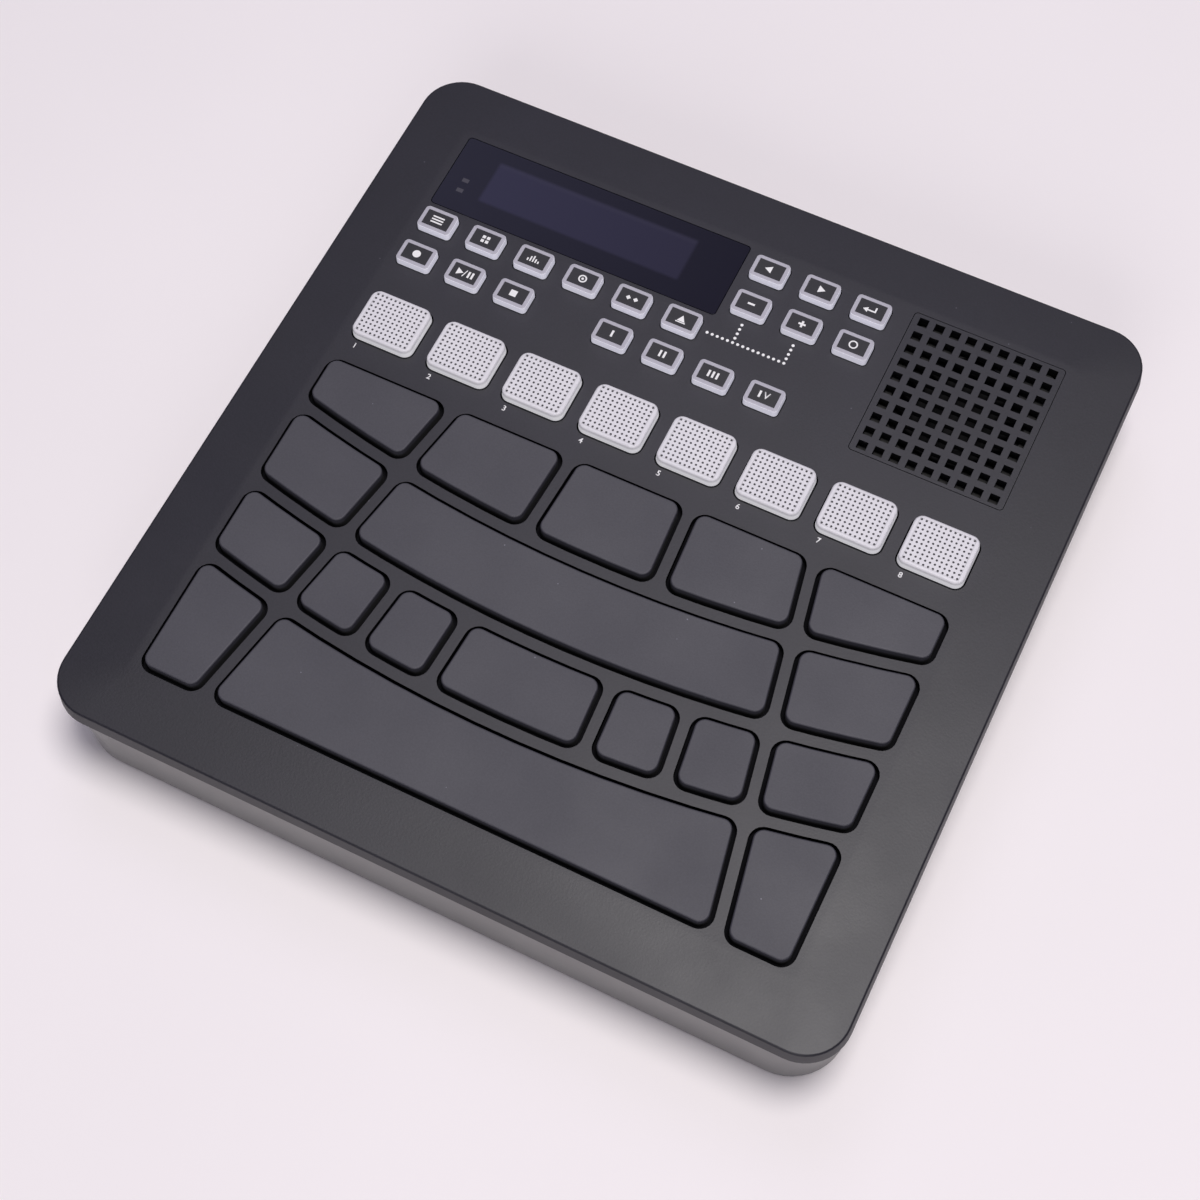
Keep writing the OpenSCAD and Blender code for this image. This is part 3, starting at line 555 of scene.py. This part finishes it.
def make_floor_material():
    """Pale floor with a faint drift of tone."""
    material, tree, shader = new_material("pale_floor")
    patches = use_group(tree, HANDLING, Scale=6.0)
    tint = mix_colour(tree, patches.outputs["Cloud"], (0.935, 0.895, 0.91), (0.955, 0.915, 0.93))
    tree.links.new(tint, shader.inputs["Base Color"])
    shader.inputs["Roughness"].default_value = 0.9
    shader.inputs["Specular IOR Level"].default_value = 0.2
    return material


# Top case, with its sizes in mm
FOLD_FROM, FOLD_TO = 93.3, 94.7
FOLD_CORNER = 2.5
FOLD_STEPS = 6
BORDER_SLOPE = 0.7 / 16.4
BORDER_DEPTH = 0.4
RIM_FOOT = 27.0
RIM_INSIDE = 105
RIM_FROM = 108
INLAY_GAP = 0.3
INLAYS = [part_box("display_window"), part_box("speaker_grille")]


def top_skin(face):
    """The flat panel and its sloping borders."""
    heights = [vert.co.z for vert in face.verts]
    if up(face):
        return min(heights) > PANEL_Z - TOUCH
    outside = all(reach(vert.co) > FOLD_FROM * MM for vert in face.verts)
    return outside and face.normal.z > 0.93 and max(heights) > PANEL_Z - BORDER_DEPTH * MM


def by_inlay(point):
    """Whether a point lies at the display window or the grille, or in the fine gap round them."""
    gap = INLAY_GAP * MM
    return any(all(low[i] - gap < point[i] < high[i] + gap for i in (0, 1)) for low, high in INLAYS)


def is_opening(edge):
    """Top edges of the openings for pads and buttons in the panel."""
    if len(edge.link_faces) != 2 or not at_height(edge, PANEL_Z) or by_inlay(edge.verts[0].co):
        return False
    first, second = edge.link_faces
    return (up(first) and upright(second)) or (up(second) and upright(first))


def rim_foot(edge):
    """Sharp edges along the lower border of the rim."""
    outside = any(reach(vert.co) > RIM_INSIDE * MM for vert in edge.verts)
    return outside and sharp(edge) and at_height(edge, RIM_FOOT * MM)


def make_fold(corner_segments):
    """The soft fold between panel and borders: a rounded square drawn outwards and down in steps."""
    bpy.ops.object.select_all(action="DESELECT")
    bpy.ops.mesh.primitive_plane_add(size=2 * FOLD_FROM * MM, location=(0.0, 0.0, PANEL_Z))
    fold = bpy.context.object
    bpy.ops.object.transform_apply(location=True, rotation=True, scale=True)
    edit(fold)
    bpy.ops.mesh.select_all(action="SELECT")
    bpy.ops.mesh.bevel(offset=FOLD_CORNER * MM, segments=corner_segments, profile=0.5, affect="VERTICES")
    bpy.ops.mesh.select_all(action="SELECT")
    bpy.ops.mesh.delete(type="ONLY_FACE")
    bpy.ops.mesh.select_mode(type="EDGE")
    bpy.ops.mesh.select_all(action="SELECT")
    width = FOLD_TO - FOLD_FROM
    for step in range(FOLD_STEPS):
        near = step / FOLD_STEPS
        far = (step + 1) / FOLD_STEPS
        drop = BORDER_SLOPE * width / 2 * (far ** 2 - near ** 2)
        grow = (FOLD_FROM + far * width) / (FOLD_FROM + near * width)
        extrude(-drop * MM)
        bpy.ops.transform.resize(value=(grow, grow, 1.0))
    done()
    return fold


def finish_top_case(shell):
    """Gives the walls of the openings painted shade, and the band of the rim its own finish."""
    for material in (CASE_TOP, OPENING_PAINTED_SHADE, CASE_RIM):
        shell.data.materials.append(material)
    for face in shell.data.polygons:
        above = face.center.z > RIM_FOOT * MM
        inside = reach(face.center) < FOLD_FROM * MM and not by_inlay(face.center)
        if above and inside and abs(face.normal.z) < 0.3:
            face.material_index = 1
        elif above and face.center.xy.length > RIM_FROM * MM and abs(face.normal.z) < 0.9:
            face.material_index = 2


def make_top_case():
    shell = copy_of("top_case", "top_case.shell")
    round_edges(shell, is_opening, width=0.22, segments=2)
    select_faces(shell, top_skin)
    bpy.ops.mesh.delete(type="FACE")
    work = bmesh.from_edit_mesh(shell.data)
    border = [edge for edge in work.edges if edge.is_boundary and not at_height(edge, PANEL_Z)]
    corner_segments = len(border) // 4 - 1
    done()
    join(shell, make_fold(corner_segments))
    select_edges(shell, lambda edge: edge.is_boundary and at_height(edge, PANEL_Z))
    bpy.ops.mesh.fill(use_beauty=True)
    done()
    select_edges(shell, lambda edge: edge.is_boundary)
    bpy.ops.mesh.bridge_edge_loops()
    turn_outwards()
    done()
    round_edges(shell, rim_foot, width=0.2, segments=2)
    smooth(shell)
    finish_top_case(shell)
    fit(shell, "case", "case_top", "top_case")


# Bottom case, with its sizes in mm
BASE_REACH = 90
BASE_CORNER = 108
FLOOR_REACH = 105
FLOOR_CORNER = 145
MOUTH_FROM, MOUTH_TO = 5, 24


def make_bottom_case():
    shell = copy_of("bottom_case", "bottom_case.shell")
    low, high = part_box("bottom_case")

    def outside(point):
        return reach(point) > BASE_REACH * MM and point.xy.length > BASE_CORNER * MM

    def inside(point):
        return reach(point) < FLOOR_REACH * MM and point.xy.length < FLOOR_CORNER * MM

    def on_rear_wall(point):
        return abs(point.y - high.y) < TOUCH and MOUTH_FROM * MM < point.z < MOUTH_TO * MM

    def at_foot(edge):
        return sharp(edge) and at_height(edge, low.z)

    def outer_edge(edge):
        return at_foot(edge) and all(outside(vert.co) for vert in edge.verts)

    def hole_edge(edge):
        return at_foot(edge) and all(inside(vert.co) for vert in edge.verts)

    def rear_mouth(edge):
        return sharp(edge) and all(on_rear_wall(vert.co) for vert in edge.verts)

    round_edges(shell, outer_edge, width=1.2, segments=4)
    round_edges(shell, rear_mouth, width=0.25, segments=2)
    round_edges(shell, hole_edge, width=0.25, segments=2)
    smooth(shell)
    shell.data.materials.append(CASE_BOTTOM)
    fit(shell, "case", "case_bottom", "bottom_case")


# Drum pads
FLANGE_DEPTH = 0.1 * MM


def darken_flange(key):
    """Gives the flange that a key has under the panel the painted shade of the openings."""
    key.data.materials.append(OPENING_PAINTED_SHADE)
    last = len(key.data.materials) - 1
    for face in key.data.polygons:
        if face.normal.z > 0.9 and face.center.z < PANEL_Z - FLANGE_DEPTH:
            face.material_index = last


def make_drum_pads():
    names = [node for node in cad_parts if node.startswith("pad_") and node != "pad_cushion_sheet"]
    for node in names:
        pad = rounded_copy(node, node + ".rubber", top_edges(node), 0.48, 4, PAD_RUBBER)
        darken_flange(pad)
        fit(pad, node, "pad_rubber", node)


# Function pads
FUNCTION_PADS = range(1, 9)
DIMPLE_COLUMNS, DIMPLE_ROWS = 12, 10
DIMPLE_PITCH = 1.35 * MM
DIMPLE_WIDTH = 0.62 * MM
DIMPLE_DEPTH = 0.22 * MM
FIELD_SHRINK = 0.3 * MM
# Share of a square's side that each corner loses when it becomes an octagon
OCTAGON_CUT = 0.293


def make_dimple_field(centre):
    """A flat field of small eight-sided dimples, open at its outline."""
    bpy.ops.object.select_all(action="DESELECT")
    bpy.ops.mesh.primitive_grid_add(x_subdivisions=DIMPLE_COLUMNS, y_subdivisions=DIMPLE_ROWS, size=1.0,
                                    location=centre)
    field = bpy.context.object
    field.scale = (DIMPLE_COLUMNS * DIMPLE_PITCH, DIMPLE_ROWS * DIMPLE_PITCH, 1.0)
    bpy.ops.object.transform_apply(location=True, rotation=True, scale=True)
    edit(field, "FACE")
    bpy.ops.mesh.select_all(action="SELECT")
    bpy.ops.mesh.inset(thickness=(DIMPLE_PITCH - DIMPLE_WIDTH) / 2, use_individual=True)
    bpy.ops.mesh.select_mode(type="VERT")
    bpy.ops.mesh.bevel(offset=DIMPLE_WIDTH * OCTAGON_CUT, offset_type="OFFSET", segments=1, affect="VERTICES")
    select_faces(field, lambda face: len(face.verts) == 8 and face.calc_area() < DIMPLE_WIDTH ** 2)
    extrude(-DIMPLE_DEPTH)
    done()
    return field


def make_function_pads():
    first = "function_pad_1"
    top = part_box(first)[1].z
    centre = middle(first)
    half = Vector((DIMPLE_COLUMNS, DIMPLE_ROWS)) * DIMPLE_PITCH / 2
    pad = copy_of(first, first + ".rubber")
    round_edges(pad, top_edges(first), width=0.6, segments=5)
    select_faces(pad, level_at(top))
    bpy.ops.mesh.delete(type="FACE")
    done()
    field = make_dimple_field((centre.x, centre.y, top))
    select_edges(field, lambda edge: edge.is_boundary)
    bpy.ops.transform.resize(value=((half.x - FIELD_SHRINK) / half.x, (half.y - FIELD_SHRINK) / half.y, 1.0))
    done()
    join(pad, field)
    select_edges(pad, lambda edge: edge.is_boundary)
    bpy.ops.mesh.fill(use_beauty=True)
    turn_outwards()
    done()
    smooth(pad)
    pad.data.materials.append(FUNCTION_WHITE)
    pad.data.materials.append(DIMPLE_GREY)
    for face in pad.data.polygons:
        inner = abs(face.center.x - centre.x) < half.x and abs(face.center.y - centre.y) < half.y
        if inner and top - 1.5 * DIMPLE_DEPTH < face.center.z < top - 0.2 * DIMPLE_DEPTH:
            face.material_index = 1
    darken_flange(pad)
    for number in FUNCTION_PADS:
        node = f"function_pad_{number}"
        piece = pad if node == first else moved_copy(pad, node + ".rubber", middle(node) - centre)
        fit(piece, node, "function_pad", node)


# Flat printed shapes, with their sizes in mm
CAPITAL_SHARE = 0.7
NUMERAL_SWELL = 0.04
PRINT_THICKNESS = 0.02


def add_bar(place, width, height, angle=0.0):
    bpy.ops.mesh.primitive_plane_add(size=1.0, location=place, rotation=(0.0, 0.0, math.radians(angle)))
    bpy.context.object.scale = (width * MM, height * MM, 1.0)


def add_disc(place, radius, sides=24, angle=0.0):
    bpy.ops.mesh.primitive_circle_add(vertices=sides, radius=radius * MM, fill_type="NGON", location=place,
                                      rotation=(0.0, 0.0, math.radians(angle)))


def add_triangle(place, radius, angle):
    add_disc(place, radius, sides=3, angle=angle)


def add_ring(place, radius, width):
    add_disc(place, radius, sides=32)
    edit(bpy.context.object, "FACE")
    bpy.ops.mesh.select_all(action="SELECT")
    bpy.ops.mesh.inset(thickness=width * MM)
    bpy.ops.mesh.delete(type="FACE")
    done()


def add_numeral(place, text, height):
    bpy.ops.object.text_add(location=place)
    numeral = bpy.context.object
    numeral.data.body = text
    numeral.data.size = height * MM / CAPITAL_SHARE
    numeral.data.offset = NUMERAL_SWELL * MM
    numeral.data.align_x = "CENTER"
    numeral.data.align_y = "CENTER"
    numeral.data.resolution_u = 4
    bpy.ops.object.convert(target="MESH")


SHAPES = {
    "bar": add_bar,
    "disc": add_disc,
    "triangle": add_triangle,
    "ring": add_ring,
    "numeral": add_numeral,
}


def flat_print(name, origin, shapes, material=PRINT_WHITE):
    """Joins flat shapes, placed in mm from origin, into one thin printed piece."""
    parts = []
    for kind, x, y, *sizes in shapes:
        bpy.ops.object.select_all(action="DESELECT")
        SHAPES[kind]((origin[0] + x * MM, origin[1] + y * MM, origin[2]), *sizes)
        parts.append(bpy.context.object)
        bpy.ops.object.transform_apply(location=True, rotation=True, scale=True)
    join(*parts)
    piece = bpy.context.object
    piece.name = name
    edit(piece, "FACE")
    bpy.ops.mesh.select_all(action="SELECT")
    bpy.ops.mesh.remove_doubles(threshold=0.001 * MM)
    bpy.ops.mesh.normals_make_consistent(inside=False)
    extrude(PRINT_THICKNESS * MM)
    turn_outwards()
    done()
    piece.data.materials.clear()
    piece.data.materials.append(material)
    return piece


# Buttons
FACE_INSET = 0.85 * MM
FACE_RECESS = 0.08 * MM
FACE_THICKNESS = 0.1 * MM
FACE_SCALE = (0.994, 0.992, 1.0)
BAR_W = 0.62
BAR_H = 2.1
LEVELS = (0.9, 1.7, BAR_H, 1.3, 0.8)
LEGENDS = {
    "button_record": [("disc", 0, 0, 1.2)],
    "button_play": [("triangle", -1.75, 0, 1.3, -90), ("bar", 0, 0, 0.3, 2.5, -18),
                    ("bar", 1.25, 0, BAR_W, BAR_H), ("bar", 2.35, 0, BAR_W, BAR_H)],
    "button_stop": [("bar", 0, 0, 2.0, 2.0)],
    "button_bank_1": [("bar", 0, 0, BAR_W, BAR_H)],
    "button_bank_2": [("bar", x, 0, BAR_W, BAR_H) for x in (-0.65, 0.65)],
    "button_bank_3": [("bar", x, 0, BAR_W, BAR_H) for x in (-1.25, 0, 1.25)],
    "button_bank_4": [("bar", -1.35, 0, BAR_W, BAR_H), ("numeral", 0.6, 0, "V", BAR_H)],
    "button_mode_1": [("bar", 0, y, 3.6, 0.46) for y in (-0.92, 0, 0.92)],
    "button_mode_2": [("bar", x, y, 0.95, 0.95) for x in (-0.68, 0.68) for y in (-0.68, 0.68)],
    "button_mode_3": [("bar", 0.8 * (i - 2), (h - BAR_H) / 2, 0.42, h) for i, h in enumerate(LEVELS)],
    "button_mode_4": [("ring", 0, 0, 1.25, 0.42), ("disc", 0, 0, 0.38)],
    "button_mode_5": [("bar", x, 0, 1.05, 1.05, 45) for x in (-1.1, 1.1)],
    "button_mode_6": [("triangle", 0, -0.25, 1.35, 0), ("bar", 0, -1.25, 2.9, 0.34)],
    "button_minus": [("bar", 0, 0, BAR_H, BAR_W)],
    "button_plus": [("bar", 0, 0, BAR_H, BAR_W), ("bar", 0, 0.68, BAR_W, 0.74),
                    ("bar", 0, -0.68, BAR_W, 0.74)],
    "button_confirm": [("ring", 0, 0, 1.3, 0.4)],
    "button_left": [("triangle", -0.15, 0, 1.35, 90)],
    "button_right": [("triangle", 0.15, 0, 1.35, -90)],
    "button_return": [("triangle", -1.35, -0.45, 0.95, 90), ("bar", 0.33, -0.45, 2.4, 0.45),
                      ("bar", 1.305, 0.4, 0.45, 1.25)],
}


def make_button_face(cap, top):
    """Sinks the top of a cap inside its border and lays a black face in it."""
    select_faces(cap, level_at(top))
    bpy.ops.mesh.inset(thickness=FACE_INSET)
    extrude(-FACE_RECESS)
    bpy.ops.mesh.duplicate()
    bpy.ops.mesh.separate(type="SELECTED")
    done()
    face = [obj for obj in bpy.context.selected_objects if obj != cap][0]
    edit(face, "FACE")
    bpy.ops.mesh.select_all(action="SELECT")
    bpy.ops.transform.resize(value=FACE_SCALE)
    extrude(FACE_THICKNESS)
    turn_outwards()
    done()
    round_edges(face, lambda edge: sharp(edge) and all(vert.co.z > top for vert in edge.verts),
                width=0.05, segments=2)
    smooth(face)
    face.data.materials.append(BUTTON_FACE)
    return face


def make_buttons():
    first = "button_record"
    centre = middle(first)
    cap = copy_of(first, first + ".cap")
    round_edges(cap, top_edges(first), width=0.25, segments=4)
    face = make_button_face(cap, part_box(first)[1].z)
    face.name = first + ".face"
    face_top = max(vert.co.z for vert in face.data.vertices)
    smooth(cap)
    cap.data.materials.append(CAP_MILKY)
    darken_flange(cap)
    for node, shapes in LEGENDS.items():
        place = middle(node)
        own_cap = cap if node == first else moved_copy(cap, node + ".cap", place - centre)
        own_face = face if node == first else moved_copy(face, node + ".face", place - centre)
        legend = flat_print(node + ".legend", (place.x, place.y, face_top), shapes)
        fit(own_cap, node, "button", node)
        fit(own_face, node, "button")
        fit(legend, node, "button")


# Prints on the panel, with their sizes in mm
NUMERAL_PLACE = (-6.5, -10.0)
NUMERAL_HEIGHT = 1.6
BRACKET_PLACE = (-1.8, 61.4)
BRACKET_DOTS = 16
BRACKET_ENDS = (5, 15)
END_DOTS = 4
ROW_PITCH, END_PITCH = 1.54, 1.55
DOT_RADIUS = 0.44
DOT_SIDES = 14


def make_panel_print():
    for number in FUNCTION_PADS:
        centre = middle(f"function_pad_{number}")
        mark = flat_print(f"top_case.numeral_{number}", (centre.x, centre.y, PANEL_Z),
                          [("numeral", *NUMERAL_PLACE, str(number), NUMERAL_HEIGHT)])
        fit(mark, "case", "case_top")
    left, front = BRACKET_PLACE
    row = [left + ROW_PITCH * step for step in range(BRACKET_DOTS)]
    places = [(x, front) for x in row]
    for end in BRACKET_ENDS:
        places += [(row[end], front + END_PITCH * (step + 1)) for step in range(END_DOTS)]
    dots = [("disc", x, y, DOT_RADIUS, DOT_SIDES) for x, y in places]
    fit(flat_print("top_case.bracket_dots", (0.0, 0.0, PANEL_Z), dots), "case", "case_top")


# Display, with its signals in mm
SIGNAL_X = -85.7
SIGNAL_YS = (77.9, 74.25)
SIGNAL_SIZE = (2.0, 1.3)


def make_display():
    window = rounded_copy("display_window", "display_window.pane", top_edges("display_window"), 0.05, 2,
                          make_window_material())
    fit(window, "case", "window", "display_window")
    module = rounded_copy("display_module", "display_module.bezel", sharp, 0.12, 2, MODULE_BLACK)
    fit(module, "case", "display", "display_module")
    bars = [("bar", SIGNAL_X, y, *SIGNAL_SIZE) for y in SIGNAL_YS]
    signals = flat_print("display_window.signals", (0.0, 0.0, PANEL_Z), bars, SIGNAL_GREY)
    fit(signals, "case", "window")


# Speaker grille
GRILLE_BORDER = 1.0 * MM


def make_grille():
    low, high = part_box("speaker_grille")

    def in_field(point):
        return all(low[i] + GRILLE_BORDER < point[i] < high[i] - GRILLE_BORDER for i in (0, 1))

    at_top = top_edges("speaker_grille")
    grille = rounded_copy("speaker_grille", "speaker_grille.plate",
                          lambda edge: at_top(edge) and all(in_field(vert.co) for vert in edge.verts),
                          0.14, 2, CASE_TOP)
    # The walls of the grille's holes get the painted shade of the openings
    grille.data.materials.append(OPENING_PAINTED_SHADE)
    for face in grille.data.polygons:
        if in_field(face.center) and abs(face.normal.z) < 0.3:
            face.material_index = 1
    fit(grille, "case", "case_top", "speaker_grille")


# Feet, screws and rear controls
def make_small_parts():
    for node, name, width, material, body, slot in (
        ("rubber_feet", "rubber_feet.pads", 0.35, FOOT_RUBBER, "case", "feet"),
        ("case_screws", "case_screws.heads", 0.12, SCREW_STEEL, "case", "screws"),
        ("power_button", "power_button.knob", 0.3, CONTROL_BLACK, "power_button", "controls"),
        ("volume_wheel", "volume_wheel.rim", 0.15, CONTROL_BLACK, "volume_wheel", "controls"),
    ):
        piece = rounded_copy(node, name, sharp, width, 3, material)
        fit(piece, body, slot, node)


# Boards and other pieces inside, which keep their CAD meshes
def dress_inner_nodes():
    for node, material in (
        ("panel_board", BOARD_GREEN),
        ("key_dome_sheet", INNER_RUBBER),
        ("pad_cushion_sheet", INNER_RUBBER),
        ("battery_pack", BATTERY_WRAP),
        ("speaker_driver", make_speaker_material()),
        ("rear_socket_board", make_socket_material()),
    ):
        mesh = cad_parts[node].data
        mesh.materials.clear()
        mesh.materials.append(material)


# Floor
def add_floor():
    bpy.ops.object.select_all(action="DESELECT")
    bpy.ops.mesh.primitive_plane_add(size=12.0, location=(0.0, 0.0, 0.0))
    floor = bpy.context.object
    floor.name = "pale_floor"
    floor.data.materials.append(make_floor_material())


add_camera()
add_studio()
add_floor()
make_top_case()
make_bottom_case()
make_drum_pads()
make_function_pads()
make_buttons()
make_panel_print()
make_display()
make_grille()
make_small_parts()
dress_inner_nodes()
